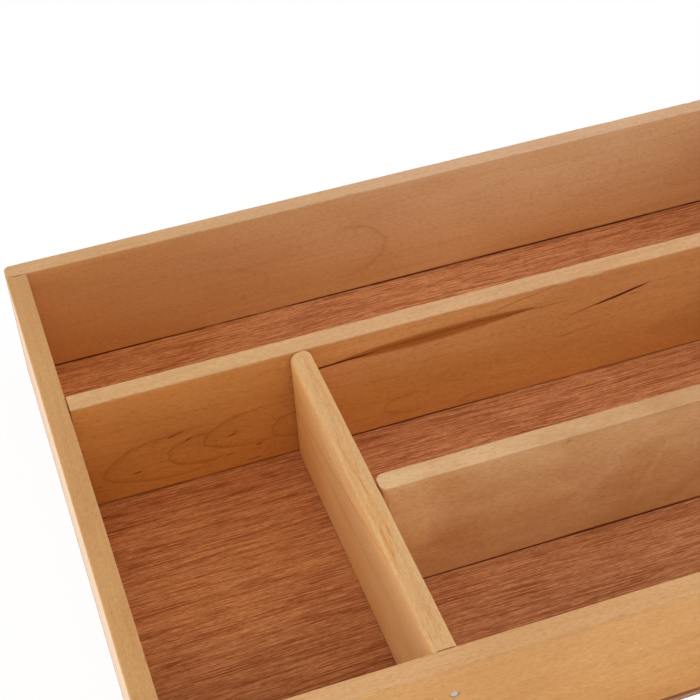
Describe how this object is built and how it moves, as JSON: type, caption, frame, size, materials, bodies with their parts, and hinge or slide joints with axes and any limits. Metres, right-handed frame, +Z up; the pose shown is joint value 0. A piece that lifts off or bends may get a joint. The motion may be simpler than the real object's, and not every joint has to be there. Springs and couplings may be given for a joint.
{
  "type": "cutlery tray",
  "caption": "Shallow open wooden cutlery tray: butt-jointed walls and flush dividers, pinned together on a plywood bottom panel.",
  "frame": {"origin": "centre of the footprint, on the underside of the bottom panel", "axes": "+X along the tray's length towards its right end, +Y towards the back wall, +Z up"},
  "size_m": [0.35, 0.25, 0.053],
  "materials": {
    "wall_wood": "satin oiled alder",
    "divider_wood": "satin oiled alder",
    "plywood": "sanded plywood with a reddish open-pored face",
    "pin_steel": "plain bright wire"
  },
  "bodies": {
    "root": {"bottom_panel": "plywood", "back_wall": "wall_wood", "front_wall": "wall_wood", "left_wall": "wall_wood", "right_wall": "wall_wood", "long_divider": "divider_wood", "cross_divider": "divider_wood", "short_divider": "divider_wood", "corner_pins_back_left": "pin_steel", "corner_pins_back_right": "pin_steel", "corner_pins_front_left": "pin_steel", "corner_pins_front_right": "pin_steel", "long_divider_pins_left": "pin_steel", "long_divider_pins_right": "pin_steel", "cross_divider_pins_front": "pin_steel", "short_divider_pins_right": "pin_steel", "panel_pins_back_wall": "pin_steel", "panel_pins_front_wall": "pin_steel", "panel_pins_left_wall": "pin_steel", "panel_pins_right_wall": "pin_steel", "panel_pins_long_divider": "pin_steel", "panel_pins_cross_divider": "pin_steel", "panel_pins_short_divider": "pin_steel"}
  },
  "joints": []
}
